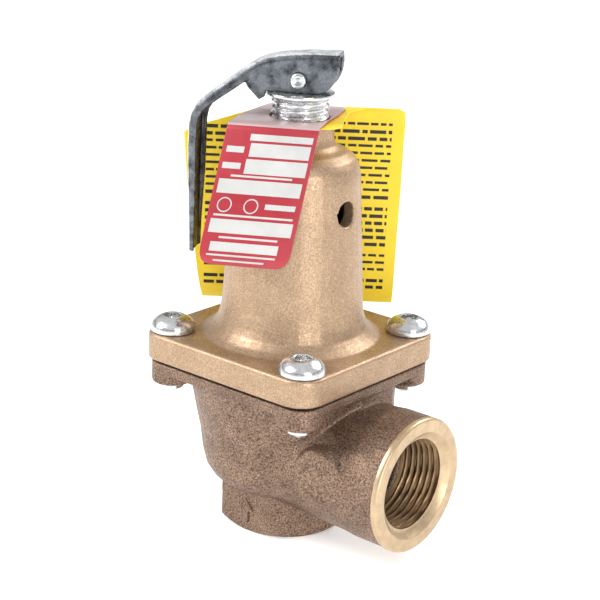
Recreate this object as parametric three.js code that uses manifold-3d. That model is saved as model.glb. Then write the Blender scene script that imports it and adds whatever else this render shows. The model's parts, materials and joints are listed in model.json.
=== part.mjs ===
// Pressure relief valve: cast bronze body and bonnet, 3/4 in pipe ports at right angles, a spring-loaded
// seat disc under a diaphragm, and a test lever on top. Millimetres, +Z up, the outlet faces +X.
// The origin is the centre of the inlet face, so the valve axis is Z.
import * as THREE from 'three';
import { mergeVertices } from 'three/addons/utils/BufferGeometryUtils.js';
import Module from 'manifold-3d';

const wasm = await Module();
wasm.setup();

// ---- Driving dimensions -------------------------------------------------------------------------
const GAP = 0.05;                 // clearance between faces that rest on each other
const FIT = 0.3;                  // radial clearance of a pin or screw in its hole

const HEX_FLATS = 31.3;           // wrench hexagon of the inlet
const HEX_HEIGHT = 13.5;
const PORT_CREST = 12.1;          // radius of the port thread crests
const PORT_ROOT = 13.2;           // radius of the port thread roots
const PORT_PITCH = 1.814;         // 14 threads per inch
const OUTLET_X = 44;              // machined outlet face
const OUTLET_Z = 22.2;            // outlet axis above the inlet face
const OUTLET_RADIUS = 17.96;
const PAD_X = 25.2;               // centre of the round pad on the body's -Y side
const PAD_Z = 24;
const SEAT_Z = 27;                // top of the raised seat
const SEAT_BORE = 9.6;

const BODY_TOP = 44.9;            // body flange face
const BODY_SIDE = 55.2;
const BODY_FLANGE = 2.8;
const LUG_RADIUS = 6.3;
const LUG_BOTTOM = 38.6;
const BONNET_BASE = 45.9;         // bonnet flange face
const BONNET_SIDE = 57;
const BONNET_FLANGE_TOP = 53.06;
const BONNET_CORNER = 6.6;
const NECK_RADIUS = 9;
const NECK_TOP = 109.8;
const VENT_Z = 88.3;
const VENT_RADIUS = 3.3;

const BOLT_XY = 22.1;             // cover screws at (+-x, +-y)
const BOLT_RADIUS = 3.1;
const BOLT_HEAD_RADIUS = 6;
const BOLT_HEAD_HEIGHT = 4.5;
const BOLT_END = 36.6;

const STEM_RADIUS = 2.4;
const SCREW_MAJOR = 7.5;          // adjusting screw
const SCREW_MINOR = 6.7;
const SCREW_PITCH = 1.5;
const SCREW_BOTTOM = 93.4;
const SCREW_TOP = 116.35;
const SCREW_BORE = STEM_RADIUS + 0.5;
const WASHER_RADIUS = 8.77;       // lift washer that the lever's ears press on
const WASHER_TOP = 117.34;

const PIVOT_Z = 120.6;            // lever pivot, on the valve axis
const CAM_START = 3.2;            // pivot to the ear's flat underside
const CAM_RATE = 4.46;            // lift per radian: base radius of the ears' involute
const LEVER_TURN = 29;            // degrees from -X towards -Y
const LEVER_SHEET = 1.2;
const EAR_SPAN = 8;               // over the outside of the ears
const RIVET_RADIUS = 1.55;
const RIVET_HEAD = 2.05;

const SPRING_BOTTOM = 52.85;
const SPRING_TOP = 91.45;
const SPRING_WIRE = 1.5;          // wire radius
const SPRING_MEAN = 10.1;         // mean coil radius
const SPRING_COILS = 6.5;

const PLATE_Z = 110.4;            // underside of the nameplate's flat part
const PLATE_SHEET = 0.5;
const PLATE_FACING = -58.7;       // degrees: the way the nameplate's label faces
const TAG_Z = 109.9;              // underside of the warning tag's flat part
const TAG_SHEET = 0.4;
const TAG_FACING = -50;          // degrees: the way the warning tag faces

// ---- Materials ----------------------------------------------------------------------------------
const paint = (color, roughness, metalness) =>
  new THREE.MeshStandardMaterial({ color, roughness, metalness });
const BRONZE_ROUGH = paint(0x96785f, 0.62, 0.75);
const BRONZE_SMOOTH = paint(0xb4977a, 0.48, 0.75);
const BRASS = paint(0xc9a763, 0.35, 0.9);
const ZINC = paint(0xbfc4c8, 0.3, 0.95);
const STEEL = paint(0x8f9498, 0.4, 0.9);
const SPRING_STEEL = paint(0x5b5f63, 0.42, 0.9);
const RUBBER = paint(0x1d1d1f, 0.85, 0);
const RED_ENAMEL = paint(0xb23a45, 0.4, 0.2);
const YELLOW_CARD = paint(0xf2d22e, 0.7, 0);

// ---- Solids from three.js geometry ----------------------------------------------------------------
// Turns a closed geometry into a solid that can be joined and cut; a solid passes straight through.
function solid(item) {
  if (!item.isBufferGeometry) return item;
  const bare = item.clone();
  bare.deleteAttribute('normal');
  bare.deleteAttribute('uv');
  const merged = mergeVertices(bare, 1e-4);
  const at = merged.attributes.position.array;
  const old = merged.index.array;
  const corner = (i) => new THREE.Vector3(at[3 * i], at[3 * i + 1], at[3 * i + 2]);
  let index = [];
  let volume = 0;
  for (let i = 0; i < old.length; i += 3) {
    const [a, b, c] = [old[i], old[i + 1], old[i + 2]];
    if (a === b || b === c || c === a) continue;
    index.push(a, b, c);
    volume += corner(a).dot(corner(b).cross(corner(c)));
  }
  if (volume < 0) index = index.reverse();
  const mesh = { numProp: 3, vertProperties: new Float32Array(at), triVerts: new Uint32Array(index) };
  return new wasm.Manifold(new wasm.Mesh(mesh));
}

const join = (first, ...rest) => rest.reduce((sum, item) => sum.add(solid(item)), solid(first));
const cut = (first, ...rest) => rest.reduce((left, item) => left.subtract(solid(item)), solid(first));
const common = (first, ...rest) => rest.reduce((both, item) => both.intersect(solid(item)), solid(first));

function geometryOf(item) {
  const mesh = solid(item).getMesh();
  const geometry = new THREE.BufferGeometry();
  geometry.setAttribute('position', new THREE.Float32BufferAttribute(mesh.vertProperties, 3));
  geometry.setIndex(Array.from(mesh.triVerts));
  geometry.computeVertexNormals();
  return geometry;
}

// Revolves [radius, height] pairs about Z; a profile that leaves the axis out closes on itself.
function turned(profile, segments = 40) {
  const points = profile.map(([r, z]) => new THREE.Vector2(r, z));
  const onAxis = profile[0][0] === 0 && profile[profile.length - 1][0] === 0;
  if (!onAxis) points.push(points[0].clone());
  return new THREE.LatheGeometry(points, segments).rotateX(Math.PI / 2);
}

const rod = (radius, z0, z1, segments = 24) =>
  turned([[0, z0], [radius, z0], [radius, z1], [0, z1]], segments);
const ring = (inner, outer, z0, z1, segments = 32) =>
  turned([[inner, z0], [outer, z0], [outer, z1], [inner, z1]], segments);
const alongX = (geometry) => geometry.rotateY(Math.PI / 2);
const degrees = THREE.MathUtils.degToRad;

function prism(shape, z0, z1, curveSegments = 6) {
  const options = { depth: z1 - z0, bevelEnabled: false, curveSegments };
  return new THREE.ExtrudeGeometry(shape, options).translate(0, 0, z0);
}

function roundedRect(width, height, radius) {
  const [x, y] = [width / 2, height / 2];
  const shape = new THREE.Shape();
  shape.absarc(x - radius, y - radius, radius, 0, Math.PI / 2);
  shape.absarc(-x + radius, y - radius, radius, Math.PI / 2, Math.PI);
  shape.absarc(-x + radius, -y + radius, radius, Math.PI, 1.5 * Math.PI);
  shape.absarc(x - radius, -y + radius, radius, 1.5 * Math.PI, 2 * Math.PI);
  return shape;
}

function hexagon(flats, turn = 0) {
  const radius = flats / Math.sqrt(3);
  const corners = [0, 1, 2, 3, 4, 5].map((i) => turn + (i * Math.PI) / 3);
  return new THREE.Shape(corners.map((a) => new THREE.Vector2(radius * Math.cos(a), radius * Math.sin(a))));
}

const outline = (pairs) => new THREE.Shape(pairs.map(([x, y]) => new THREE.Vector2(x, y)));

// Skins a run of rings with equal point counts and caps both ends; section is one ring in 2-D.
function loft(rings, section) {
  const count = rings[0].length;
  const positions = rings.flat().flatMap((p) => [p.x, p.y, p.z]);
  const index = [];
  for (let i = 0; i + 1 < rings.length; i += 1) {
    for (let j = 0; j < count; j += 1) {
      const [a, b] = [i * count + j, i * count + ((j + 1) % count)];
      index.push(a, b, b + count, a, b + count, a + count);
    }
  }
  const last = (rings.length - 1) * count;
  const faces = THREE.ShapeUtils.triangulateShape(section.map(([x, y]) => new THREE.Vector2(x, y)), []);
  const clockwise = THREE.ShapeUtils.area(section.map(([x, y]) => ({ x, y }))) < 0;
  for (const [a, b, c] of faces) {
    const [p, q, r] = clockwise ? [a, c, b] : [a, b, c];
    index.push(p, r, q, last + p, last + q, last + r);
  }
  const geometry = new THREE.BufferGeometry();
  geometry.setAttribute('position', new THREE.Float32BufferAttribute(positions, 3));
  geometry.setIndex(index);
  return geometry;
}

// Helical V groove about Z: the tip of the V at tipRadius, its open side at openRadius.
function threadCutter(openRadius, tipRadius, halfWidth, pitch, z0, turns, steps) {
  const rings = [];
  const total = Math.round(turns * steps);
  for (let i = 0; i <= total; i += 1) {
    const angle = (i / steps) * 2 * Math.PI;
    const z = z0 + (i / steps) * pitch;
    const at = (r, dz) => new THREE.Vector3(r * Math.cos(angle), r * Math.sin(angle), z + dz);
    rings.push([at(openRadius, -halfWidth), at(tipRadius, 0), at(openRadius, halfWidth)]);
  }
  const side = Math.sign(tipRadius - openRadius);
  return loft(rings, [[0, -1], [side, 0], [0, 1]]);
}

// ---- Valve body -----------------------------------------------------------------------------------
const bolts = [[1, 1], [-1, 1], [-1, -1], [1, -1]].map(([x, y]) => [x * BOLT_XY, y * BOLT_XY]);
const boltHoles = (z0, z1) => bolts.map(([x, y]) => rod(BOLT_RADIUS + FIT, z0, z1, 14).translate(x, y, 0));

function inletHex() {
  const corner = HEX_FLATS / Math.sqrt(3);
  const outer = corner + 0.2;
  const bevel = turned([[0, 0], [corner - 2.6, 0], [outer, 2.2], [outer, HEX_HEIGHT], [0, HEX_HEIGHT]]);
  return common(prism(hexagon(HEX_FLATS), 0, HEX_HEIGHT), bevel);
}

function bowl() {
  return turned([
    [0, 9], [15, 9], [16.3, 11.6], [18, 12.5], [20.2, 13.9], [21.8, 16.4], [22.7, 20], [23.5, 26],
    [24.6, 31], [25.6, 36], [26.9, 42.5], [0, 42.5],
  ], 40);
}

function flangeLug() {
  return turned([
    [0, LUG_BOTTOM], [4.3, LUG_BOTTOM], [5.7, LUG_BOTTOM + 0.7], [LUG_RADIUS, LUG_BOTTOM + 2],
    [LUG_RADIUS, BODY_TOP], [0, BODY_TOP],
  ], 20);
}

function bodyFlange() {
  const plan = roundedRect(BODY_SIDE, BODY_SIDE, BONNET_CORNER - 0.8);
  const lugs = bolts.map(([x, y]) => flangeLug().translate(x, y, 0));
  const slab = prism(plan, BODY_TOP - BODY_FLANGE, BODY_TOP);
  return common(join(slab, ...lugs), prism(plan, LUG_BOTTOM - 1, BODY_TOP));
}

function outletBoss() {
  return alongX(turned([
    [0, 2], [16.6, 2], [17.2, 22], [17.5, 30], [OUTLET_RADIUS, 34],
    [OUTLET_RADIUS, OUTLET_X - 0.7], [OUTLET_RADIUS - 0.7, OUTLET_X], [0, OUTLET_X],
  ], 40)).translate(0, 0, OUTLET_Z);
}

// Round cast pad on the -Y side of the outlet, and the flare that blends the bowl into the outlet.
function bodyPad() {
  const pad = turned([[0, 8], [7.9, 8], [7.9, 17.9], [7.2, 18.8], [5.8, 19.1], [0, 19.1]], 28);
  return pad.rotateX(Math.PI / 2).translate(PAD_X, 0, PAD_Z);
}

function bodyFlare() {
  const flare = turned([
    [0, 4], [22.2, 4], [21.6, 9], [20.4, 14], [19, 18.5], [17.9, 23], [17.2, 28], [0, 28],
  ], 36);
  return alongX(flare).scale(1, 1, 0.76).translate(0, 0, OUTLET_Z + 1.2);
}

// Raised arrow on a wrench flat, pointing up into the valve.
function flowArrow() {
  const arrow = outline([
    [-0.8, 2.6], [0.8, 2.6], [0.8, 6], [2.5, 6], [0, 9.4], [-2.5, 6], [-0.8, 6],
  ]);
  return prism(arrow, 0, 0.9).rotateX(Math.PI / 2).translate(0, -HEX_FLATS / 2 + 0.5, 0);
}

function valveBody() {
  const ribPlan = outline([[16, -6], [25, -6], [27.2, -3], [27.2, 10], [25, 14], [16, 16]]);
  const rib = prism(ribPlan, 30, 42.5);
  const ends = join(inletHex(), outletBoss(), bodyFlare());
  const outside = join(bowl(), bodyFlange(), ends, bodyPad(), rib, flowArrow());
  const inlet = turned([
    [0, -1], [14.6, -1], [13, 1.1], [PORT_CREST, 1.9], [PORT_CREST, 12.6], [SEAT_BORE, 15],
    [SEAT_BORE, SEAT_Z + 2], [0, SEAT_Z + 2],
  ], 16);
  const chamber = turned([
    [0, SEAT_Z + 0.9], [9.9, SEAT_Z], [10.9, SEAT_Z], [11.6, SEAT_Z - 1.2], [12.4, SEAT_Z - 1.2], [12.4, 16.6],
    [18.4, 16.6], [20, 24], [21, 38], [20.5, 41], [20.5, BODY_TOP + 1], [0, BODY_TOP + 1],
  ], 28);
  const outlet = alongX(turned([
    [0, 17], [11.3, 17], [11.3, 29], [PORT_CREST, 30], [PORT_CREST, OUTLET_X - 2], [13.2, OUTLET_X - 1.4],
    [14.4, OUTLET_X], [14.4, OUTLET_X + 1], [0, OUTLET_X + 1],
  ], 24)).translate(0, 0, OUTLET_Z);
  const half = PORT_PITCH * 0.45;
  const inletThread = threadCutter(PORT_CREST - 0.15, PORT_ROOT, half, PORT_PITCH, 1.2, 4.6, 16);
  const outletGroove = threadCutter(PORT_CREST - 0.15, PORT_ROOT, half, PORT_PITCH, OUTLET_X - 12.6, 6.6, 24);
  const outletThread = alongX(outletGroove).translate(0, 0, OUTLET_Z);
  return cut(outside, inlet, chamber, outlet, inletThread, outletThread, ...boltHoles(30, 50));
}

// ---- Bonnet ---------------------------------------------------------------------------------------
function bonnetFlange() {
  const bevel = { bevelEnabled: true, bevelThickness: 0.9, bevelSize: 0.9, bevelSegments: 2 };
  const rim = { depth: 8, curveSegments: 6, ...bevel };
  const plan = roundedRect(BONNET_SIDE - 1.8, BONNET_SIDE - 1.8, BONNET_CORNER - 0.9);
  const rounded = new THREE.ExtrudeGeometry(plan, rim).translate(0, 0, BONNET_FLANGE_TOP - 8.9);
  return common(rounded, prism(roundedRect(60, 60, 2), BONNET_BASE, BONNET_FLANGE_TOP + 1));
}

function bonnet() {
  const barrel = turned([
    [0, 50], [23.4, 50], [23.2, 53.3], [21.7, 54.2], [20.1, 55.9], [19.1, 58.4], [18.6, 62], [18.1, 70],
    [17.35, 81], [16.6, 92.4], [16.35, 96.2], [15.8, 99], [14.7, 101], [12.7, 102.4], [10.6, 103.1],
    [9.5, 104.1], [NECK_RADIUS, 105.8], [NECK_RADIUS, NECK_TOP], [0, NECK_TOP],
  ], 40);
  const inside = turned([
    [0, BONNET_BASE - 1], [20.5, BONNET_BASE - 1], [20.5, 49.6], [18.6, 51], [15.2, 56], [14.3, 60], [13, 97.4],
    [11.4, 99.4], [SCREW_MAJOR + 0.25, 101.6], [SCREW_MAJOR + 0.25, NECK_TOP + 1], [0, NECK_TOP + 1],
  ], 24);
  const vents = alongX(rod(VENT_RADIUS, -30, 30, 20)).translate(0, 0, VENT_Z);
  return cut(join(bonnetFlange(), barrel), inside, vents, ...boltHoles(40, 60));
}

// ---- Cover screws ---------------------------------------------------------------------------------
// Button head with a six-sided socket and a centre pin that keeps plain keys out.
function coverScrew() {
  const seat = BONNET_FLANGE_TOP + GAP;
  const top = seat + BOLT_HEAD_HEIGHT;
  const body = turned([
    [0, BOLT_END], [BOLT_RADIUS - 0.8, BOLT_END], [BOLT_RADIUS, BOLT_END + 0.8], [BOLT_RADIUS, seat],
    [BOLT_HEAD_RADIUS - 0.3, seat], [BOLT_HEAD_RADIUS, seat + 0.6], [5.8, seat + 1.5], [5.2, seat + 2.7],
    [4.1, seat + 3.8], [2.9, top], [0, top],
  ], 18);
  const socket = cut(prism(hexagon(4.2, 0.3), top - 2.1, top + 1), rod(0.75, top - 3, top - 0.3, 8));
  return cut(body, socket);
}

// ---- Trim: the pieces that lift off the seat --------------------------------------------------------
const discHolder = () => turned([
  [2.2, 31.1], [11.4, 31.1], [11.4, 27.9], [13, 27.9], [13.2, 28.4], [13.2, 32.4], [12.4, 33.4], [7.4, 34.6],
  [5.8, 36.4], [5.5, 38.5], [5.5, BODY_TOP], [STEM_RADIUS + FIT, BODY_TOP], [STEM_RADIUS + FIT, 37], [2.2, 36],
], 24);

const seatDisc = () => ring(2.6, 11.15, SEAT_Z + GAP, 31.05, 24);
const discWasher = () => ring(2.2, 6.4, 26.1, SEAT_Z, 20);

function discScrew() {
  const body = turned([
    [0, 23.6], [3.4, 23.6], [4, 24.2], [4, 26.05], [1.9, 26.05], [1.9, 35.4], [0, 35.4],
  ], 20);
  return cut(body, new THREE.BoxGeometry(9, 0.9, 1.2).translate(0, 0, 23.8));
}

function diaphragm() {
  const sheet = prism(roundedRect(54, 54, 6), BODY_TOP + GAP, BONNET_BASE - GAP);
  const base = BODY_TOP + GAP;
  const thick = BONNET_BASE - GAP - base;
  const wave = [];
  for (let i = 0; i <= 6; i += 1) wave.push([13.9 + (5.6 * i) / 6, 2.2 * Math.sin((Math.PI * i) / 6)]);
  const lower = wave.map(([r, rise]) => [r, base + rise]);
  const upper = wave.map(([r, rise]) => [r, base + thick + rise]).reverse();
  const fold = turned([
    [13.4, base], ...lower, [20, base], [20, base + thick], ...upper, [13.4, base + thick],
  ], 24);
  const hole = rod(STEM_RADIUS + 0.5, 40, 50);
  return cut(join(cut(sheet, ring(13.9, 19.5, 40, 50, 24)), fold), hole, ...boltHoles(40, 50));
}

const pressurePlate = () => ring(STEM_RADIUS + FIT, 13.2, BONNET_BASE, 47.4, 24);
const stemNut = () => cut(prism(hexagon(9.5), 47.4 + GAP, 51), rod(STEM_RADIUS + FIT, 40, 60, 20));

const springButton = (base, up) => turned([
  [STEM_RADIUS + FIT, base], [11.6, base], [11.6, base + up * 1.6], [8, base + up * 1.6],
  [7.2, base + up * 4], [STEM_RADIUS + FIT, base + up * 4],
], 24);

function spring() {
  const wire = new THREE.Shape().absarc(0, 0, SPRING_WIRE, 0, 2 * Math.PI);
  const rise = SPRING_TOP - SPRING_BOTTOM - 2 * SPRING_WIRE - 4 * GAP;
  const points = [];
  const steps = Math.round(SPRING_COILS * 12);
  for (let i = 0; i <= steps; i += 1) {
    const angle = (i / 12) * 2 * Math.PI;
    const z = SPRING_BOTTOM + SPRING_WIRE + 2 * GAP + (rise * i) / steps;
    points.push(new THREE.Vector3(SPRING_MEAN * Math.cos(angle), SPRING_MEAN * Math.sin(angle), z));
  }
  const path = new THREE.CatmullRomCurve3(points);
  return new THREE.ExtrudeGeometry(wire, { steps, extrudePath: path, curveSegments: 3 });
}

// ---- Adjusting screw, washer and stem ---------------------------------------------------------------
function adjustingScrew() {
  const body = turned([
    [SCREW_BORE, SCREW_BOTTOM], [5, SCREW_BOTTOM], [6.2, 94.6], [SCREW_MAJOR - 0.5, 95],
    [SCREW_MAJOR - 0.5, 103], [SCREW_MAJOR, 103.5], [SCREW_MAJOR, SCREW_TOP - 0.4],
    [SCREW_MAJOR - 0.5, SCREW_TOP], [SCREW_BORE, SCREW_TOP],
  ], 20);
  const half = SCREW_PITCH * 0.42;
  const groove = threadCutter(SCREW_MAJOR + 0.12, SCREW_MINOR, half, SCREW_PITCH, 106.4, 6.2, 20);
  return cut(body, groove);
}

const liftWasher = () => turned([
  [SCREW_BORE + 0.1, SCREW_TOP + GAP], [WASHER_RADIUS - 0.2, SCREW_TOP + GAP],
  [WASHER_RADIUS, SCREW_TOP + 0.25],
  [WASHER_RADIUS, WASHER_TOP - 0.2], [WASHER_RADIUS - 0.2, WASHER_TOP], [SCREW_BORE + 0.1, WASHER_TOP],
], 32);

function stem() {
  const body = turned([
    [0, 37.3], [STEM_RADIUS, 37.3], [STEM_RADIUS, PIVOT_Z + 2.4], [STEM_RADIUS - 0.6, PIVOT_Z + 3],
    [0, PIVOT_Z + 3],
  ], 24);
  return cut(body, acrossLever(rod(RIVET_RADIUS + FIT, -5, 5, 16)));
}

// ---- Test lever -------------------------------------------------------------------------------------
// Lever space: u runs out along the lever, v across it, z up. Z-aligned geometry is laid across the lever.
const leverTurn = degrees(180 + LEVER_TURN);
const inLeverSpace = (geometry) => geometry.rotateZ(leverTurn);
const acrossLever = (geometry) => inLeverSpace(geometry.rotateX(Math.PI / 2).translate(0, 0, PIVOT_Z));

// Outer face of the lever's web, from over the ears, down the slope, round the knee to the tip.
const WEB_PATH = [
  [-10.1, 128], [-3, 127.7], [3, 127.1], [8.4, 126], [11.6, 124.6], [17.4, 120.2], [23.2, 115.7],
  [26.2, 112.8], [27.7, 109.4], [28, 104], [28, 92], [27.8, 80], [27.7, 73.4],
];
const WEB_STATIONS = 26;

// Width over the flanks and depth of the flanks, at a share of the way along the web.
function flankSize(share) {
  const ease = THREE.MathUtils.smoothstep;
  const wide = EAR_SPAN + 3.9 * ease(share, 0.26, 0.5) - 3.6 * ease(share, 0.62, 0.97);
  const deep = 3 - 0.5 * ease(share, 0.3, 0.6) - 0.9 * ease(share, 0.7, 1);
  return [wide, deep];
}

function channelSection(wide, deep) {
  const [w, t, b] = [wide / 2, LEVER_SHEET, 1.5];
  return [
    [-w, deep], [-w, b], [-w + 0.3 * b, 0.3 * b], [-w + b, 0], [w - b, 0], [w - 0.3 * b, 0.3 * b], [w, b],
    [w, deep], [w - t, deep], [w - t, t], [-w + t, t], [-w + t, deep],
  ];
}

function leverChannel() {
  const stops = WEB_PATH.map(([u, z]) => new THREE.Vector3(u, 0, z));
  const path = new THREE.CatmullRomCurve3(stops, false, 'centripetal');
  const rings = [];
  for (let i = 0; i <= WEB_STATIONS; i += 1) {
    const share = i / WEB_STATIONS;
    const [wide, deep] = flankSize(share);
    const at = path.getPointAt(share);
    const along = path.getTangentAt(share);
    const inward = new THREE.Vector3(along.z, 0, -along.x);
    const corner = ([v, h]) => new THREE.Vector3(at.x + inward.x * h, v, at.z + inward.z * h);
    rings.push(channelSection(wide, deep).map(corner));
  }
  return loft(rings, channelSection(...flankSize(0)));
}

// One ear: a flat that rests on the washer, then an involute cam that lifts the pivot as the lever swings.
function leverEar() {
  const cam = [];
  for (let i = 0; i <= 12; i += 1) {
    const swing = degrees(i * 7.5);
    const reach = CAM_START + CAM_RATE * swing;
    const u = -Math.sin(swing) * reach - Math.cos(swing) * CAM_RATE;
    const z = -Math.cos(swing) * reach + Math.sin(swing) * CAM_RATE;
    cam.push([u, PIVOT_Z + z]);
  }
  const ear = outline([
    ...cam, [-9.7, 126.6], [-3, 126.4], [3, 125.8], [8, 124.7], [11, 123.4], [14.4, 120.8], [13, 118],
    [10, 115], [8.5, 116], [8.5, PIVOT_Z - CAM_START],
  ]);
  const hole = new THREE.Path().absarc(0, PIVOT_Z, RIVET_RADIUS + FIT, 0, 2 * Math.PI);
  ear.holes.push(hole);
  return prism(ear, 0, LEVER_SHEET, 8).rotateX(Math.PI / 2);
}

function testLever() {
  const near = leverEar().translate(0, EAR_SPAN / 2, 0);
  const far = leverEar().translate(0, -EAR_SPAN / 2 + LEVER_SHEET, 0);
  return inLeverSpace(geometryOf(join(leverChannel(), near, far)));
}

function leverRivet() {
  const end = EAR_SPAN / 2 + 0.15;
  const dished = (s) => [
    [0, s * (end + 0.55)], [0.8, s * (end + 0.9)], [1.5, s * (end + 0.9)], [RIVET_HEAD, s * (end + 0.3)],
  ];
  const lower = [...dished(-1), [RIVET_HEAD, -end], [RIVET_RADIUS, -end]];
  const upper = [...dished(1), [RIVET_HEAD, end], [RIVET_RADIUS, end]].reverse();
  return acrossLever(turned([...lower, ...upper], 16));
}

// ---- Nameplate and warning tag ------------------------------------------------------------------------
// A bent sheet: stations give [distance out, height, half width, sideways shift] and the sheet is skinned
// between them, then turned to face the given way.
function bentSheet(stations, thickness, facing) {
  const rings = stations.map(([out, z, half, shift], i) => {
    const before = stations[Math.max(i - 1, 0)];
    const after = stations[Math.min(i + 1, stations.length - 1)];
    const along = new THREE.Vector2(after[0] - before[0], after[1] - before[1]).normalize();
    const [nx, nz] = [(-along.y * thickness) / 2, (along.x * thickness) / 2];
    const point = (side, face) => new THREE.Vector3(out + face * nx, shift + side * half, z + face * nz);
    return [point(-1, -1), point(1, -1), point(1, 1), point(-1, 1)];
  });
  return loft(rings, [[-1, -1], [1, -1], [1, 1], [-1, 1]]).rotateZ(degrees(facing));
}

// The label hangs in front of the shoulder, leaning outwards and a little to one side.
function nameplate() {
  const z = PLATE_Z + PLATE_SHEET / 2;
  const flat = [
    [-14.4, z, 7.6, 0.4], [-13.8, z, 9.2, 0.3], [-12.4, z, 10.2, 0], [-4, z, 11.2, -1.8], [3, z, 11.4, -3.5],
  ];
  const fold = [
    [9, z, 11.5, -4.2], [12.4, z, 11.5, -4.5], [13.5, z - 0.4, 11.5, -4.6], [14.1, z - 1.3, 11.5, -4.7],
  ];
  const label = [
    [20.6, 80.4, 11.5, -9.4], [21, 78.8, 11.3, -9.6], [21.3, 77.5, 10.7, -9.8], [21.5, 76.7, 9.6, -9.9],
    [21.6, 76.4, 8.4, -9.9],
  ];
  const sheet = bentSheet([...flat, ...fold, ...label], PLATE_SHEET, PLATE_FACING);
  return cut(sheet, rod(SCREW_MAJOR + FIT, 100, 120, 32));
}

function warningTag() {
  const z = TAG_Z + TAG_SHEET / 2;
  const flat = [[11, z, 5, 1], [10.2, z, 7.6, 1], [8, z, 9.6, 1], [0, z, 10.4, 1], [-10, z, 11, 2]];
  const back = [
    [-16, z, 13, 5], [-17.6, z - 0.4, 17, 9.6], [-18.4, z - 1.4, 19.4, 8.8], [-19, 105.6, 24, 4.4],
    [-19.4, 102.6, 28.4, 0], [-19.8, 101, 29.4, -1.1], [-20.6, 88, 28.9, -0.6], [-21.4, 75, 28, 0.1],
    [-22.2, 62, 27.2, 0.8], [-23.2, 57, 26.8, 1.2], [-24.2, 53.7, 26.4, 1.5],
  ];
  const sheet = bentSheet([...flat, ...back], TAG_SHEET, TAG_FACING);
  return cut(sheet, rod(SCREW_MAJOR + FIT, 100, 120, 32));
}

// ---- Assembly ---------------------------------------------------------------------------------------
const valve = new THREE.Group();

function place(name, item, material, x = 0, y = 0, z = 0) {
  const mesh = new THREE.Mesh(geometryOf(item), material);
  mesh.name = name;
  mesh.position.set(x, y, z);
  valve.add(mesh);
}

place('valve_body', valveBody(), BRONZE_ROUGH);
place('bonnet', bonnet(), BRONZE_SMOOTH);
bolts.forEach(([x, y], i) => place(`cover_screw_${i + 1}`, coverScrew(), ZINC, x, y));
place('diaphragm', diaphragm(), RUBBER);
place('disc_holder', discHolder(), BRASS);
place('seat_disc', seatDisc(), RUBBER);
place('disc_washer', discWasher(), BRASS);
place('disc_screw', discScrew(), BRASS);
place('pressure_plate', pressurePlate(), STEEL);
place('stem_nut', stemNut(), ZINC);
place('lower_spring_button', springButton(51.05, 1), STEEL);
place('spring', spring(), SPRING_STEEL);
place('upper_spring_button', springButton(SCREW_BOTTOM - GAP, -1), STEEL);
place('adjusting_screw', adjustingScrew(), ZINC);
place('lift_washer', liftWasher(), ZINC);
place('stem', stem(), STEEL);
place('test_lever', testLever(), ZINC);
place('lever_rivet', leverRivet(), ZINC);
place('nameplate', nameplate(), RED_ENAMEL);
place('warning_tag', warningTag(), YELLOW_CARD);

export default valve;
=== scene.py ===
"""Looks of the pressure relief valve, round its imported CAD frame. Metres, +Z up, the outlet faces +X."""

import json
import math
import random

import bmesh
import bpy
import numpy as np
from mathutils import Matrix, Quaternion, Vector
from mathutils.bvhtree import BVHTree


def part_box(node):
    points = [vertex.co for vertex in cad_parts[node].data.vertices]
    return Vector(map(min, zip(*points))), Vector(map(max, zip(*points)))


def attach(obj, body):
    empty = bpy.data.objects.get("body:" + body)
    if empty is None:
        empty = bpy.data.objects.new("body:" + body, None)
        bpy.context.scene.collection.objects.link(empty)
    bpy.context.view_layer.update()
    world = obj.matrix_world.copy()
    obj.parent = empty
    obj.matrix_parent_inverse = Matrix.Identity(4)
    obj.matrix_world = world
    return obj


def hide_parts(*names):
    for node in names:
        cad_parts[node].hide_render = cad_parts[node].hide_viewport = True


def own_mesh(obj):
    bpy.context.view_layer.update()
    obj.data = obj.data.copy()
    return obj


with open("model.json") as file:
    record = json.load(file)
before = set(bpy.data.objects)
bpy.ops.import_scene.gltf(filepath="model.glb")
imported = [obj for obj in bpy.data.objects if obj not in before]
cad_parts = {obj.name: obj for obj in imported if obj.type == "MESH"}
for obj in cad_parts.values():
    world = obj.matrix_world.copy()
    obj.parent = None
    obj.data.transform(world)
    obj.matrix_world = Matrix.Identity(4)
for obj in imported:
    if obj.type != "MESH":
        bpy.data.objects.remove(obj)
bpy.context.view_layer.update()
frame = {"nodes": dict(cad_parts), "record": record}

MM = 0.001

# ---- Camera -----------------------------------------------------------------------------------------
CAMERA_AT = Vector((262.70, -320.48, 201.48)) * MM
CAMERA_AIM = Vector((3.53, -1.16, 62.61)) * MM
CAMERA_ROLL = math.radians(2.4305)
CAMERA_LENS = 99.634
SENSOR = 36

# ---- Sizes, in millimetres --------------------------------------------------------------------------
HEX_FLATS = 31.3
HEX_CORNER = 17.85
OUTLET_Z = 22.2
OUTLET_RADIUS = 17.96
PORT_CREST = 12.1
PORT_ROOT = 13.2
PORT_PITCH = 1.814
BOLT_XY = 22.1
BOLT_RADIUS = 3.1
BOLT_END = 36.6
HEAD_SEAT = 53.11
HEAD_RADIUS = 6
HEAD_HEIGHT = 4.5
SOCKET_FLATS = 4.2
SCREW_MAJOR = 7.5
SCREW_MINOR = 6.7
SCREW_PITCH = 1.5
SCREW_BORE = 2.9
SCREW_BOTTOM = 93.4
SCREW_TOP = 116.35
WASHER_RADIUS = 8.77
WASHER_TOP = 117.34
SPRING_MEAN = 10.1
SPRING_WIRE = 1.45
SPRING_COILS = 6.5
FOLD_RADIUS = 16.7
LEVER_ANGLE = math.radians(209)
PLATE_FACING = math.radians(-58.7)
TAG_FACING = math.radians(-50)


# ---- Meshes -----------------------------------------------------------------------------------------
def add_object(name, mesh):
    obj = bpy.data.objects.new(name, mesh)
    bpy.context.scene.collection.objects.link(obj)
    return obj


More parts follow.
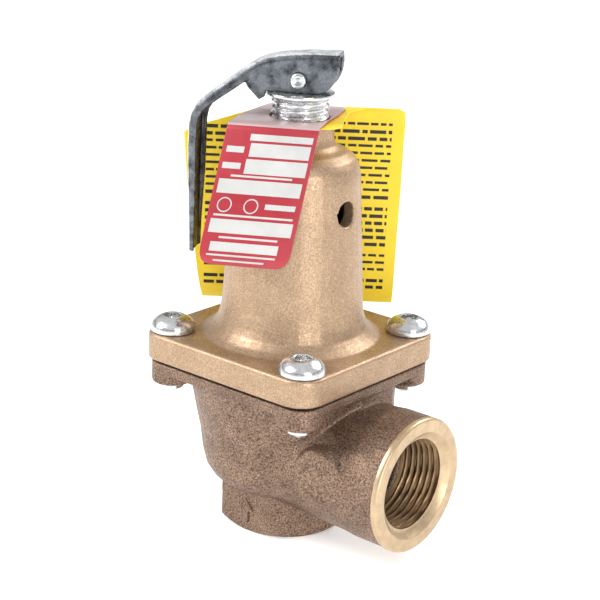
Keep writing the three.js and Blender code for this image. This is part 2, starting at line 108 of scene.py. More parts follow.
def smooth(obj, sharp_degrees=35):
    obj.data.shade_smooth()
    obj.data.set_sharp_from_angle(angle=math.radians(sharp_degrees))
    return obj


def skin(name, rings, loop=False, sharp=35):
    """Skins a run of closed rings of points in millimetres; the ends are capped, or joined in a loop."""
    count = len(rings[0])
    points = [tuple(c * MM for c in p) for ring in rings for p in ring]
    faces = []
    pairs = len(rings) if loop else len(rings) - 1
    for i in range(pairs):
        a, b = i * count, ((i + 1) % len(rings)) * count
        for j in range(count):
            k = (j + 1) % count
            faces.append((a + j, a + k, b + k, b + j))
    if not loop:
        faces.append(tuple(reversed(range(count))))
        faces.append(tuple((len(rings) - 1) * count + j for j in range(count)))
    mesh = bpy.data.meshes.new(name)
    mesh.from_pydata(points, [], faces)
    work = bmesh.new()
    work.from_mesh(mesh)
    bmesh.ops.remove_doubles(work, verts=work.verts, dist=1e-7)
    bmesh.ops.recalc_face_normals(work, faces=work.faces)
    work.to_mesh(mesh)
    work.free()
    return smooth(add_object(name, mesh), sharp)


def turned(name, profile, steps=72, loop=False, radius_at=None):
    """Turns (radius, height) pairs about Z. radius_at(radius, height, angle) can vary the radius."""
    rings = []
    for radius, height in profile:
        ring = []
        for j in range(steps):
            angle = 2 * math.pi * j / steps
            r = radius_at(radius, height, angle) if radius_at else radius
            ring.append((r * math.cos(angle), r * math.sin(angle), height))
        rings.append(ring)
    return skin(name, rings, loop)


def weld(mesh):
    work = bmesh.new()
    work.from_mesh(mesh)
    bmesh.ops.remove_doubles(work, verts=work.verts, dist=2e-6)
    work.to_mesh(mesh)
    work.free()


def apply_modifiers(obj):
    graph = bpy.context.evaluated_depsgraph_get()
    final = bpy.data.meshes.new_from_object(obj.evaluated_get(graph))
    obj.modifiers.clear()
    obj.data = final


def relax(mesh, rounds, weight):
    """Evens out a dense mesh, each vertex by its weight from 0 to 1, which rounds a casting's edges."""
    count = len(mesh.vertices)
    at = np.zeros(count * 3)
    mesh.vertices.foreach_get("co", at)
    at = at.reshape(-1, 3)
    ends = np.zeros(len(mesh.edges) * 2, int)
    mesh.edges.foreach_get("vertices", ends)
    a, b = ends[0::2], ends[1::2]
    degree = np.bincount(a, minlength=count) + np.bincount(b, minlength=count)
    share = weight(at / MM)[:, None]
    for turn in range(rounds):
        for step in (0.6, -0.61):
            mean = np.stack([
                np.bincount(a, at[b, k], count) + np.bincount(b, at[a, k], count) for k in range(3)
            ], 1) / degree[:, None]
            at = at + (mean - at) * step * share
        if turn % 3 == 0:
            at = at + (mean - at) * 0.25 * share
    return at


def refined(name, node, voxel, rounds, weight, reshape=None):
    """A dense, softened copy of a CAD node that stands for it."""
    mesh = frame["nodes"][node].data.copy()
    mesh.materials.clear()
    weld(mesh)
    obj = add_object(name, mesh)
    fine = obj.modifiers.new("fine", "REMESH")
    fine.mode = "VOXEL"
    fine.voxel_size = voxel * MM
    apply_modifiers(obj)
    at = relax(obj.data, rounds, weight)
    if reshape:
        at = reshape(at / MM) * MM
    low, high = (np.array(corner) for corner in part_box(node))
    at = np.clip(at, low, high)
    obj.data.vertices.foreach_set("co", at.ravel())
    obj.data.update()
    obj.data.shade_smooth()
    return obj


def softened(name, node, width):
    """A copy of a sheet-metal or card node with its edges eased."""
    mesh = frame["nodes"][node].data.copy()
    mesh.materials.clear()
    weld(mesh)
    obj = add_object(name, mesh)
    bevel = obj.modifiers.new("ease", "BEVEL")
    bevel.width = width * MM
    bevel.segments = 2
    bevel.limit_method = "ANGLE"
    bevel.angle_limit = math.radians(50)
    bevel.use_clamp_overlap = True
    apply_modifiers(obj)
    return smooth(obj, 30)


# ---- Materials --------------------------------------------------------------------------------------
class Shader:
    """A principled material with a few node shorthands; its coordinates are the object's own."""

    def __init__(self, name, color, metallic, roughness, **sockets):
        self.material = bpy.data.materials.new(name)
        self.material.use_nodes = True
        self.tree = self.material.node_tree
        self.shader = self.tree.nodes["Principled BSDF"]
        self.set("Base Color", (*color, 1))
        self.set("Metallic", metallic)
        self.set("Roughness", roughness)
        for socket, value in sockets.items():
            self.set(socket.replace("_", " "), value)
        self.place = self.tree.nodes.new("ShaderNodeTexCoord").outputs["Object"]

    def set(self, socket, value):
        self.shader.inputs[socket].default_value = value

    def link(self, source, socket):
        self.tree.links.new(source, socket)

    def noise(self, size, detail=3, rough=0.55):
        """Noise whose features are about size millimetres across."""
        node = self.tree.nodes.new("ShaderNodeTexNoise")
        node.inputs["Scale"].default_value = 1 / (size * MM)
        node.inputs["Detail"].default_value = detail
        node.inputs["Roughness"].default_value = rough
        self.link(self.place, node.inputs["Vector"])
        return node.outputs["Fac"]

    def ramp(self, value, stops):
        node = self.tree.nodes.new("ShaderNodeValToRGB")
        marks = node.color_ramp.elements
        while len(marks) < len(stops):
            marks.new(0.5)
        for mark, (at, color) in zip(marks, stops):
            mark.position = at
            mark.color = (*color, 1) if isinstance(color, tuple) else (color, color, color, 1)
        self.link(value, node.inputs["Fac"])
        return node.outputs["Color"]

    def mix(self, factor, first, second, blend="MIX"):
        node = self.tree.nodes.new("ShaderNodeMix")
        node.data_type = "RGBA"
        node.blend_type = blend
        for source, socket in ((factor, node.inputs[0]), (first, node.inputs[6]), (second, node.inputs[7])):
            if isinstance(source, bpy.types.NodeSocket):
                self.link(source, socket)
            elif isinstance(source, tuple):
                socket.default_value = (*source, 1)
            else:
                socket.default_value = source
        return node.outputs[2]

    def bump(self, height, strength, distance, under=None):
        node = self.tree.nodes.new("ShaderNodeBump")
        node.inputs["Strength"].default_value = strength
        node.inputs["Distance"].default_value = distance * MM
        self.link(height, node.inputs["Height"])
        if under:
            self.link(under, node.inputs["Normal"])
        self.link(node.outputs["Normal"], self.shader.inputs["Normal"])
        return node.outputs["Normal"]

    def feed(self, source, socket):
        self.link(source, self.shader.inputs[socket])


def cast_bronze(name, dark, light, grain, depth, roughness, contrast):
    """Cast bronze: mottled colour, dark pits between the grains and a sandy relief."""
    m = Shader(name, light, 0.7, roughness)
    mottle = m.ramp(m.noise(6, 4), [(0.3, dark), (0.7, light)])
    pits = m.ramp(m.noise(grain, 3, 0.7), [(0.36, 1 - contrast), (0.5, 0.95), (0.66, 1 + contrast)])
    m.feed(m.mix(1.0, mottle, pits, "MULTIPLY"), "Base Color")
    m.feed(m.ramp(m.noise(grain * 1.7), [(0.3, roughness - 0.1), (0.7, roughness + 0.15)]), "Roughness")
    coarse = m.bump(m.noise(grain * 3, 3), 0.5, depth)
    m.bump(m.noise(grain, 4, 0.7), 0.75, depth, coarse)
    return m.material


def machined_brass(name, color, roughness):
    """Machined bronze or brass, lightly stained, with a fine grain."""
    m = Shader(name, color, 0.85, roughness)
    shade = m.ramp(m.noise(3, 4), [(0.3, tuple(c * 0.78 for c in color)), (0.65, color)])
    m.feed(shade, "Base Color")
    m.feed(m.ramp(m.noise(1.2, 4), [(0.3, roughness - 0.08), (0.7, roughness + 0.12)]), "Roughness")
    m.bump(m.noise(0.5, 2, 0.5), 0.18, 0.03)
    return m.material


def plated(name, color, roughness, wear=0.12, grain=0.5):
    """Zinc plate or steel: small shifts of tone and gloss over fine scratches."""
    m = Shader(name, color, 0.95, roughness)
    tone = m.ramp(m.noise(2.6, 5), [(0.28, tuple(c * (1 - 2 * wear) for c in color)), (0.62, color)])
    m.feed(tone, "Base Color")
    gloss = [(0.3, max(roughness - 0.09, 0.05)), (0.7, roughness + wear)]
    m.feed(m.ramp(m.noise(0.9, 5), gloss), "Roughness")
    m.bump(m.noise(grain, 3), 0.06, 0.03)
    return m.material


def galvanised(name, dark, light, roughness, metallic):
    """The lever's coat, mottled and grainy; made twice, as a lit copy for the web and a dark copy that is
    painted shade on the flanks and inside faces.
    """
    m = Shader(name, light, metallic, roughness)
    blotch = m.ramp(m.noise(3.4, 6, 0.62), [(0.34, dark), (0.58, light)])
    speck = m.ramp(m.noise(0.45, 4, 0.7), [(0.36, 0.45), (0.55, 1.0)])
    m.feed(m.mix(0.6, blotch, speck, "MULTIPLY"), "Base Color")
    m.feed(m.ramp(m.noise(1.6, 5), [(0.3, roughness - 0.08), (0.7, roughness + 0.2)]), "Roughness")
    m.bump(m.noise(0.6, 5, 0.65), 0.22, 0.06)
    return m.material


def rubber(name):
    m = Shader(name, (0.018, 0.018, 0.02), 0, 0.75)
    m.feed(m.ramp(m.noise(1.5, 4), [(0.3, 0.6), (0.7, 0.85)]), "Roughness")
    m.bump(m.noise(0.4), 0.25, 0.03)
    return m.material


def enamel(name, color):
    """Thin enamel or ink on aluminium sheet, with a slight orange peel."""
    m = Shader(name, color, 0.15, 0.36, Coat_Weight=0.25)
    m.feed(m.ramp(m.noise(7, 4), [(0.3, tuple(c * 0.86 for c in color)), (0.7, color)]), "Base Color")
    m.feed(m.ramp(m.noise(2, 4), [(0.3, 0.3), (0.7, 0.46)]), "Roughness")
    m.bump(m.noise(1.1, 3), 0.1, 0.03)
    return m.material


def card(name, color):
    """Coated card: faint fibres and soft creases."""
    m = Shader(name, color, 0, 0.55)
    m.feed(m.ramp(m.noise(9, 4), [(0.3, tuple(c * 0.88 for c in color)), (0.68, color)]), "Base Color")
    m.feed(m.ramp(m.noise(1, 5), [(0.3, 0.46), (0.7, 0.64)]), "Roughness")
    fibres = m.bump(m.noise(0.5, 4), 0.15, 0.03)
    m.bump(m.noise(14, 2), 0.5, 0.9, fibres)
    return m.material


MATERIALS = {
    "cast_rough": cast_bronze(
        "cast_bronze_rough", (0.19, 0.122, 0.086), (0.28, 0.185, 0.128),
        grain=0.46, depth=0.17, roughness=0.46, contrast=0.75,
    ),
    "cast_smooth": cast_bronze(
        "cast_bronze_smooth", (0.40, 0.272, 0.172), (0.47, 0.325, 0.21),
        grain=0.4, depth=0.05, roughness=0.4, contrast=0.3,
    ),
    "machined": machined_brass("machined_bronze", (0.62, 0.46, 0.29), 0.34),
    "bore": machined_brass("threaded_bore", (0.34, 0.22, 0.12), 0.36),
    "brass": machined_brass("turned_brass", (0.72, 0.52, 0.24), 0.26),
    "zinc": plated("zinc_plate", (0.74, 0.75, 0.76), 0.2, 0.16, 0.9),
    "steel": plated("turned_steel", (0.50, 0.52, 0.54), 0.3),
    "spring": plated("spring_steel", (0.16, 0.165, 0.18), 0.38),
    # The lever's coat twice: a lit copy for the web, and a dark copy that paints the shade on the flanks and
    # inside faces.
    "galvanised": galvanised("galvanised_web", (0.50, 0.52, 0.54), (0.82, 0.84, 0.86), 0.36, 0.55),
    "painted_shade_coat": galvanised("painted_shade_galvanised_flank", (0.045, 0.05, 0.055), (0.20, 0.215, 0.235), 0.3, 0.95),
    "rubber": rubber("moulded_rubber"),
    "red": enamel("red_enamel", (0.42, 0.03, 0.045)),
    # Pale pink copy of the red enamel for the plate's upward faces: a painted sheen.
    "painted_sheen_top": enamel("enamel_painted_sheen", (0.60, 0.44, 0.44)),
    "silver": enamel("bare_label_silver", (0.60, 0.60, 0.58)),
    "yellow": card("yellow_card", (0.90, 0.66, 0.02)),
    "ink": card("dark_ink", (0.02, 0.018, 0.015)),
}

LOOK_OF_SLOT = {
    "cast_bronze_rough": "cast_rough", "cast_bronze_smooth": "cast_smooth", "brass": "brass",
    "zinc_plate": "zinc", "steel": "steel", "spring_steel": "spring", "rubber": "rubber",
    "red_enamel": "red", "yellow_card": "yellow",
}


def paint(obj, look):
    obj.data.materials.clear()
    obj.data.materials.append(MATERIALS[look])


def piece(obj, look, slot, body, *nodes):
    """Paints a new piece, gives it its body, and lets it stand for CAD nodes; the slot argument is not used.
    """
    paint(obj, look)
    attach(obj, body)
    if nodes:
        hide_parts(*nodes)
    return obj


def paint_cad_nodes():
    for part in frame["record"]["subparts"]:
        paint(frame["nodes"][part["node"]], LOOK_OF_SLOT[part["material_slot"]])


# ---- Castings ---------------------------------------------------------------------------------------
def clear_ports(at):
    """Draws the body back under the turned ends and threads that are pieces of their own."""
    hexagon_top, hexagon_core = 8.6, 15.1
    socket_top, socket_low, socket_radius = 12.3, 9.9, 14.7
    inlet_start, outlet_start, outlet_end = 0.6, 30.4, 42.9
    bore_limit, bore_radius = 14.2, 14.4
    x, y, z = at.T
    out = np.hypot(x, y)
    low = z < hexagon_top
    inner = (out < socket_radius) & (z < socket_top)
    shrink = np.where(low & (out > hexagon_core), hexagon_core / np.maximum(out, 1), 1)
    shrink = np.where(inner & (out > socket_low), socket_radius / np.maximum(out, 1), shrink)
    x, y = x * shrink, y * shrink
    z = np.where(z < inlet_start, inlet_start, z)
    out = np.hypot(y, z - OUTLET_Z)
    bore = (x > outlet_start) & (out < bore_limit)
    grow = np.where(bore, bore_radius / np.maximum(out, 1), 1)
    y, z = y * grow, OUTLET_Z + (z - OUTLET_Z) * grow
    x = np.where(x > outlet_end, outlet_end, x)
    return np.stack([x, y, z], 1)


def body_softness(at):
    x, y, z = at.T
    soft = np.ones(len(at))
    soft[z > 44.2] = 0.25
    soft[z < 12.5] = 0.12
    soft[np.hypot(x, y) < 15] = 0.3
    return soft


def valve_body():
    body = refined("body_casting", "valve_body", 0.36, 6, body_softness, clear_ports)
    piece(body, "cast_rough", "cast_bronze_rough", "housing", "valve_body")


def outlet_lip():
    """The machined outlet: face, chamfers and the pipe thread, one closed ring turned about +X."""
    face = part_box("valve_body")[1].x / MM
    start, end = 30.5, face - 1.9

    def thread(radius, x, angle):
        if radius != PORT_CREST or not start <= x <= end:
            return radius
        return port_thread(radius, x, angle, start, end)

    rows = 76
    threads = [(PORT_CREST, end + (start - end) * i / rows) for i in range(rows + 1)]
    profile = [
        (14.6, 29.8), (14.6, 42.2), (OUTLET_RADIUS, 42.4), (OUTLET_RADIUS, face - 0.75),
        (OUTLET_RADIUS - 0.12, face - 0.4), (OUTLET_RADIUS - 0.42, face - 0.1), (OUTLET_RADIUS - 0.75, face),
        (14.4, face), (14.2, face - 0.12), (13.2, face - 1.4), (PORT_CREST, face - 1.8), *threads,
        (PORT_CREST - 0.4, 29.8),
    ]
    lip = turned("outlet_lip", profile, 108, True, thread)
    turn = Matrix.Rotation(math.pi / 2, 4, "Y")
    lip.data.transform(Matrix.Translation((0, 0, OUTLET_Z * MM)) @ turn)
    piece(lip, "machined", "cast_bronze_rough", "housing")
    lip.data.materials.append(MATERIALS["bore"])
    for part in lip.data.polygons:
        middle = part.center / MM
        out = math.hypot(middle.y, middle.z - OUTLET_Z)
        part.material_index = int(out < PORT_ROOT - 0.05 and middle.x < end)


def port_thread(radius, along, angle, start, end):
    """The radius of a pipe thread, which fades in and out at its ends."""
    phase = (along / PORT_PITCH - angle / (2 * math.pi)) % 1
    fade = max(0, min(1, (end - along) / 1.2, (along - start) / 1.2))
    depth = min(1, 1.35 * (1 - abs(2 * phase - 1)))
    return radius + (PORT_ROOT - 0.1 - PORT_CREST) * depth * fade


def inlet_end():
    """The wrench hexagon with its eased corners, chamfer and pipe thread, one closed ring about Z."""
    top, start, end = 12.7, 1.9, 10.4
    outer = HEX_FLATS / 2 + 0.03

    def shape(radius, z, angle):
        if radius == outer:
            reach = hex_radius(2 * outer, angle + math.pi / 6)
            return min(reach, HEX_CORNER, HEX_FLATS / 2 - 0.18 + 1.27 * z)
        if radius == PORT_CREST and start <= z <= end:
            return port_thread(radius, z, angle, start, end)
        return radius

    rise = [(outer, z) for z in (0, 0.5, 1, 1.5, 2, 2.6, 4, 8, top)]
    rows = 56
    threads = [(PORT_CREST, end + (start - end) * i / rows) for i in range(rows + 1)]
    profile = [*rise, (14.8, top), (14.8, 12.4), (PORT_CREST, 12.3), *threads, (13, 1.1), (13.85, 0)]
    ring = smooth(turned("inlet_end", profile, 144, True, shape), 18)
    piece(ring, "cast_rough", "cast_bronze_rough", "housing")
    ring.data.materials.append(MATERIALS["bore"])
    for face in ring.data.polygons:
        middle = face.center / MM
        face.material_index = int(math.hypot(middle.x, middle.y) < 13.5)


def flow_arrow():
    """Raised arrow on the front flat, pointing up into the valve."""
    plan = [(-0.8, 2.6), (0.8, 2.6), (0.8, 6), (2.5, 6), (0, 9.4), (-2.5, 6), (-0.8, 6)]
    back, front = -HEX_FLATS / 2 + 0.3, -HEX_FLATS / 2 - 0.6
    rings = [[(x, y, z) for x, z in plan] for y in (back, front)]
    arrow = skin("flow_arrow", rings, sharp=30)
    ease = arrow.modifiers.new("ease", "BEVEL")
    ease.width = 0.14 * MM
    ease.segments = 2
    apply_modifiers(arrow)
    piece(smooth(arrow), "cast_rough", "cast_bronze_rough", "housing")


def bonnet():
    def softness(at):
        soft = np.ones(len(at))
        soft[at[:, 2] < 47] = 0.3
        return soft

    cover = refined("bonnet_casting", "bonnet", 0.4, 6, softness)
    piece(cover, "cast_smooth", "cast_bronze_smooth", "housing", "bonnet")


# ---- Screws, washer and lever -----------------------------------------------------------------------
def hex_radius(flats, angle):
    """How far a hexagon reaches at an angle; one of its flats faces angle 0."""
    return flats / 2 / math.cos((angle + math.pi / 6) % (math.pi / 3) - math.pi / 6)


def cover_screw(index, x, y):
    """Button head with a domed crown, a six-sided socket and a centre pin."""
    top = HEAD_SEAT + HEAD_HEIGHT
    floor = top - 2.1
    arc = np.linspace(1.5, 0.52, 11)
    dome = [(math.sin(a) * 5.9, HEAD_SEAT + 0.75 + 3.75 * math.cos(a)) for a in arc]
    outer = [
        (0.02, BOLT_END), (BOLT_RADIUS - 0.8, BOLT_END), (BOLT_RADIUS, BOLT_END + 0.8),
        (BOLT_RADIUS, HEAD_SEAT), (HEAD_RADIUS - 0.35, HEAD_SEAT),
        (HEAD_RADIUS - 0.08, HEAD_SEAT + 0.25), *dome,
    ]
    steps = 72
    angles = [2 * math.pi * j / steps for j in range(steps)]

    def ring(radius, height, six_sided=False):
        reach = [hex_radius(2 * radius, a) if six_sided else radius for a in angles]
        turned_by = 0.3
        points = []
        for r, a in zip(reach, angles):
            points.append((x + r * math.cos(a + turned_by), y + r * math.sin(a + turned_by), height))
        return points

    rings = [ring(r, z) for r, z in outer]
    half = SOCKET_FLATS / 2
    crown = outer[-1][1]
    rings += [ring(half + 0.22, crown + 0.04, True), ring(half, crown - 0.18, True), ring(half, floor, True)]
    rings += [ring(0.85, floor), ring(0.8, crown - 0.7), ring(0.6, crown - 0.45), ring(0.02, crown - 0.4)]
    screw = skin(f"button_screw_{index}", rings, sharp=40)
    piece(screw, "zinc", "zinc_plate", "housing", f"cover_screw_{index}")


def adjusting_screw():
    low, high = 104.2, SCREW_TOP - 0.5

    def thread(radius, z, angle):
        if not low <= z <= high or radius < SCREW_MINOR:
            return radius
        phase = (z / SCREW_PITCH - angle / (2 * math.pi)) % 1
        fade = max(0, min(1, (z - low) / 0.6, (high - z) / 0.25))
        groove = min(1, 1.5 * (1 - abs(2 * phase - 1)))
        return SCREW_MAJOR - (SCREW_MAJOR - SCREW_MINOR) * groove * fade

    rows = 96
    threads = [(SCREW_MAJOR, low + (high - low) * i / rows) for i in range(rows + 1)]
    profile = [
        (SCREW_BORE, SCREW_BOTTOM), (5, SCREW_BOTTOM), (6.2, 94.6), (7, 95), (7, 103), (SCREW_MAJOR, 103.6),
        *threads, (SCREW_MAJOR - 0.5, SCREW_TOP), (SCREW_BORE, SCREW_TOP),
    ]
    screw = turned("threaded_screw", profile, 96, True, thread)
    piece(screw, "zinc", "zinc_plate", "housing", "adjusting_screw")


def lift_washer():
    low = SCREW_TOP + 0.05
    bore = SCREW_BORE + 0.1
    profile = [
        (bore, low), (WASHER_RADIUS - 0.25, low), (WASHER_RADIUS - 0.05, low + 0.1),
        (WASHER_RADIUS, low + 0.3),
        (WASHER_RADIUS, WASHER_TOP - 0.3), (WASHER_RADIUS - 0.07, WASHER_TOP - 0.1),
        (WASHER_RADIUS - 0.3, WASHER_TOP), (bore, WASHER_TOP),
    ]
    piece(turned("washer", profile, 96, True), "zinc", "zinc_plate", "housing", "lift_washer")


def test_lever():
    lever = refined("pressed_lever", "test_lever", 0.26, 5, lambda at: np.ones(len(at)))
    piece(lever, "galvanised", "zinc_plate", "lever", "test_lever")
    lever.data.materials.append(MATERIALS["painted_shade_coat"])
    along = Vector((math.cos(LEVER_ANGLE), math.sin(LEVER_ANGLE), 0))
    across = Vector((-along.y, along.x, 0))
    # Flanks and inside faces take the dark copy: painted shade on the channel's sides and insides.
    for face in lever.data.polygons:
        flank = abs(face.normal.dot(across)) > 0.62
        inside = face.normal.dot(along) < -0.5 or face.normal.z < -0.5
        face.material_index = int(flank or inside)


def lever_rivet():
    """Upset ends with a dimple; it lies across the lever."""
    low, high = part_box("lever_rivet")
    middle = (low + high) / 2
    end = 4.15
    dished = [(0.02, end + 0.5), (0.7, end + 0.62), (1.05, end + 0.86), (1.5, end + 0.88), (1.85, end + 0.7)]
    rim = [(2.05, end + 0.35), (2.05, end + 0.05), (1.9, end), (1.55, end)]
    near = dished + rim
    far = [(r, -z) for r, z in reversed(near)]
    rivet = turned("upset_rivet", near + far, 48)
    across = Matrix.Rotation(LEVER_ANGLE, 4, "Z") @ Matrix.Rotation(math.pi / 2, 4, "X")
    rivet.data.transform(Matrix.Translation(middle) @ across)
    piece(rivet, "zinc", "zinc_plate", "spindle", "lever_rivet")


def spring():
    """A round-wire coil spring between its two buttons."""
    low, high = (corner.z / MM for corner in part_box("spring"))
    bottom, top = low + SPRING_WIRE, high - SPRING_WIRE
    steps = 40
    rings = []
    for i in range(int(SPRING_COILS * steps) + 1):
        turn = 2 * math.pi * i / steps
        z = bottom + (top - bottom) * i / (SPRING_COILS * steps)
        ring = []
        for j in range(16):
            a = 2 * math.pi * j / 16
            r = SPRING_MEAN + SPRING_WIRE * math.cos(a)
            ring.append((r * math.cos(turn), r * math.sin(turn), z + SPRING_WIRE * math.sin(a)))
        rings.append(ring)
    coil = skin("coil_spring", rings, sharp=60)
    piece(coil, "spring", "spring_steel", "housing", "spring")
    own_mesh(coil)


def diaphragm():
    """The rubber sheet, parted at its fold: the rim is clamped, the middle rises with the pressure plate."""
    low, high = (corner.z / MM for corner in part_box("diaphragm"))
    parts = [
        ("diaphragm_rim", "housing", "DIFFERENCE", FOLD_RADIUS + 0.05),
        ("diaphragm_middle", "spindle", "INTERSECT", FOLD_RADIUS - 0.05),
    ]
    for name, body, operation, radius in parts:
        outline = [(0.01, low - 1), (radius, low - 1), (radius, high + 1), (0.01, high + 1)]
        knife = turned("knife", outline, 96)
        mesh = frame["nodes"]["diaphragm"].data.copy()
        weld(mesh)
        sheet = add_object(name, mesh)
        cut = sheet.modifiers.new("part", "BOOLEAN")
        cut.operation = operation
        cut.object = knife
        apply_modifiers(sheet)
        bpy.data.objects.remove(knife)
        piece(smooth(sheet), "rubber", "rubber", body)
        if body == "housing":
            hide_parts("diaphragm")


# ---- Nameplate and warning tag ----------------------------------------------------------------------
class Printer:
    """Lays flat printed shapes on a sheet that faces one way: across runs sideways, height is Z."""

    def __init__(self, node, facing, lift=0.03):
        mesh = frame["nodes"][node].data
        corners = [v.co for v in mesh.vertices]
        self.tree = BVHTree.FromPolygons(corners, [p.vertices for p in mesh.polygons])
        self.out = Vector((math.cos(facing), math.sin(facing), 0))
        self.across = Vector((-self.out.y, self.out.x, 0))
        self.lift = lift * MM
        self.points = []
        self.faces = []

    def touch(self, across, height, side=1):
        start = self.across * across * MM + Vector((0, 0, height * MM)) + self.out * side * 60 * MM
        hit, normal, _, _ = self.tree.ray_cast(start, -self.out * side)
        if hit is None:
            return None
        if normal.dot(self.out) * side < 0:
            normal = -normal
        return hit + normal * self.lift

    def shape(self, outline, side=1):
        """A flat shape whose corners are (across, height) pairs; it is left out where it leaves the sheet."""
        touched = [self.touch(a, h, side) for a, h in outline]
        if None in touched:
            return
        first = len(self.points)
        self.points += touched
        self.faces.append(tuple(range(first, len(self.points))))

    def done(self, name):
        mesh = bpy.data.meshes.new(name)
        mesh.from_pydata([tuple(p) for p in self.points], [], self.faces)
        obj = add_object(name, mesh)
        thick = obj.modifiers.new("ink", "SOLIDIFY")
        thick.thickness = self.lift * 0.6
        thick.offset = 0
        apply_modifiers(obj)
        return obj


LABEL_HALF = 11.5
LABEL_TOP = 109.0
LABEL_BOTTOM = 76.4
LABEL_SHIFT_TOP = -4.7
LABEL_SHIFT_BOTTOM = -9.9

# Panels and bars on the label: left, top, width and height, from the label's top left corner.
LABEL_PANELS = [
    (6.4, 0.3, 15.6, 1.6), (6.9, 2.5, 15.0, 3.3), (6.6, 6.4, 15.4, 3.6), (0.9, 11.5, 20.9, 3.5),
    (1.0, 21.3, 20.8, 3.4),
]
LABEL_BARS = [
    (1.1, 3.5, 4.4, 1.5), (0.9, 7.5, 4.6, 1.5), (3.6, 10.4, 15.4, 0.5), (13.8, 17.0, 7.6, 1.3),
    (1.4, 20.1, 20.0, 0.5), (4.0, 25.5, 14.8, 0.5), (2.2, 26.9, 17.2, 2.3), (1.8, 29.9, 17.4, 0.45),
    (3.8, 31.2, 12.8, 0.45),
]
LABEL_RINGS = [(3.6, 17.8), (10.3, 17.8)]


def label_point(left, down):
    share = down / (LABEL_TOP - LABEL_BOTTOM)
    shift = LABEL_SHIFT_TOP + (LABEL_SHIFT_BOTTOM - LABEL_SHIFT_TOP) * share
    return shift - LABEL_HALF + left, LABEL_TOP - down


def nameplate():
    plate = softened("label_plate", "nameplate", 0.1)
    piece(plate, "red", "red_enamel", "housing", "nameplate")
    plate.data.materials.append(MATERIALS["painted_sheen_top"])
    # Faces that look up take the pale copy: a painted sheen on the plate's top.
    for face in plate.data.polygons:
        face.material_index = int(face.normal.z > 0.7)
    printer = Printer("nameplate", PLATE_FACING)
    for left, top, width, height in LABEL_PANELS + LABEL_BARS:
        box = [(left, top), (left + width, top), (left + width, top + height), (left, top + height)]
        printer.shape([label_point(*corner) for corner in box])
    for left, top in LABEL_RINGS:
        ring_steps = 32
        for j in range(ring_steps):
            pair = [2 * math.pi * (j + k) / ring_steps for k in (0, 1)]
            corners = [(1.55, pair[0]), (1.85, pair[0]), (1.85, pair[1]), (1.55, pair[1])]
            printer.shape([label_point(left + r * math.cos(a), top + r * math.sin(a)) for r, a in corners])
    piece(printer.done("label_panels"), "silver", "red_enamel", "housing")


def warning_tag():
    """Yellow card with rows of plain dashes, in blocks, on both of its faces."""
    tag = softened("warning_card", "warning_tag", 0.08)
    piece(tag, "yellow", "yellow_card", "housing", "warning_tag")
    draw = random.Random(11)
    printer = Printer("warning_tag", TAG_FACING)
    row_height, height, bottom = 2.05, 105.65, 57
    left, right = -24.5, 25
    row = -3
    while height > bottom:
        bold = 7 <= row % 19 <= 13 or row % 19 > 16
        across = left
        while across < right:
            length = draw.uniform(1.4, 4.6)
            last = min(across + length, right)
            thick = 0.98 if bold else 0.72
            for side in (1, -1):
                low = height - thick
                printer.shape([(across, height), (last, height), (last, low), (across, low)], side)
            across = last + draw.uniform(0.55, 0.8)
        row += 1
        height -= row_height * (1.6 if row in (8, 14, 17) else 1)
    piece(printer.done("tag_dashes"), "ink", "yellow_card", "housing")


# ---- Floor, light and camera ------------------------------------------------------------------------
def stage():
    mesh = bpy.data.meshes.new("floor")
    half = 12
    square = [(-half, -half, 0), (half, -half, 0), (half, half, 0), (-half, half, 0)]
    mesh.from_pydata(square, [], [(0, 1, 2, 3)])
    floor = add_object("floor", mesh)
    glow = {"Emission_Color": (1, 1, 1, 1), "Emission_Strength": 0.38}
    look = Shader("pale_floor", (0.92, 0.92, 0.92), 0, 0.7, **glow)
    look.feed(look.ramp(look.noise(40, 2), [(0.3, 0.66), (0.7, 0.72)]), "Roughness")
    floor.data.materials.append(look.material)


def soft_box(name, at, aim, size, power):
    light = bpy.data.lights.new(name, "AREA")
    light.shape = "RECTANGLE"
    light.size, light.size_y = size
    light.energy = power
    obj = add_object(name, light)
    obj.location = at
    obj.rotation_euler = (Vector(aim) - Vector(at)).to_track_quat("-Z", "Y").to_euler()


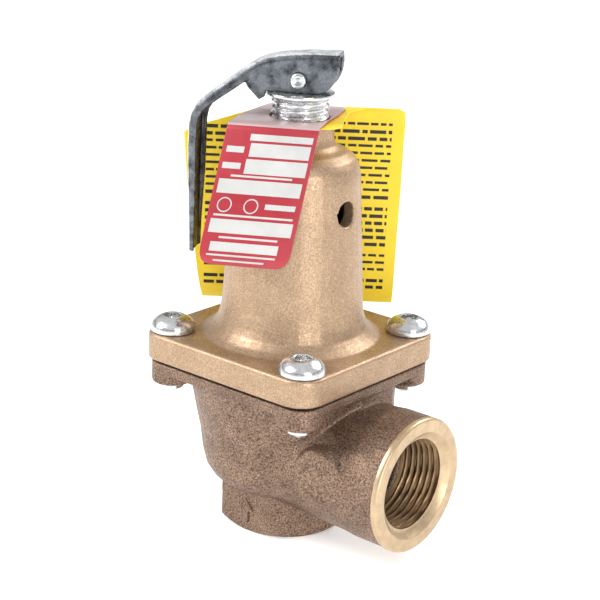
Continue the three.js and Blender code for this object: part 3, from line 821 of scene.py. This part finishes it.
def sky():
    """A studio room for the plating to mirror: bright overhead and low down, with a dark band between."""
    world = bpy.data.worlds.new("studio")
    world.use_nodes = True
    tree = world.node_tree
    place = tree.nodes.new("ShaderNodeTexCoord").outputs["Generated"]
    parts = tree.nodes.new("ShaderNodeSeparateXYZ")
    tree.links.new(place, parts.inputs[0])
    ramp = tree.nodes.new("ShaderNodeValToRGB")
    marks = ramp.color_ramp.elements
    marks[0].position, marks[0].color = 0.13, (1.2, 1.2, 1.2, 1)
    marks[1].position, marks[1].color = 0.55, (1, 1, 1, 1)
    marks.new(0.24).color = (0.16, 0.16, 0.17, 1)
    tree.links.new(parts.outputs["Z"], ramp.inputs["Fac"])
    background = tree.nodes["Background"]
    tree.links.new(ramp.outputs["Color"], background.inputs["Color"])
    background.inputs["Strength"].default_value = 0.78
    bpy.context.scene.world = world


def lights():
    aim = (0, 0, 0.06)
    soft_box("key", (-0.45, -0.60, 0.60), aim, (0.45, 0.55), 6.5)
    soft_box("fill", (0.80, -0.35, 0.30), aim, (0.25, 0.6), 3.2)
    soft_box("rim", (0.2, 0.7, 0.6), aim, (0.6, 0.4), 4)
    bpy.context.scene.view_settings.view_transform = "Standard"


def camera():
    data = bpy.data.cameras.new("camera")
    data.lens = CAMERA_LENS
    data.sensor_width = SENSOR
    data.clip_start = 0.01
    obj = add_object("camera", data)
    aim = (CAMERA_AIM - CAMERA_AT).to_track_quat("-Z", "Y")
    obj.rotation_mode = "QUATERNION"
    obj.location = CAMERA_AT
    obj.rotation_quaternion = aim @ Quaternion((0, 0, 1), CAMERA_ROLL)
    bpy.context.scene.camera = obj


camera()
paint_cad_nodes()
valve_body()
outlet_lip()
inlet_end()
flow_arrow()
bonnet()
corners = [(1, 1), (-1, 1), (-1, -1), (1, -1)]
for number, (sx, sy) in enumerate(corners, 1):
    cover_screw(number, sx * BOLT_XY, sy * BOLT_XY)
adjusting_screw()
lift_washer()
test_lever()
lever_rivet()
spring()
diaphragm()
nameplate()
warning_tag()
stage()
sky()
lights()
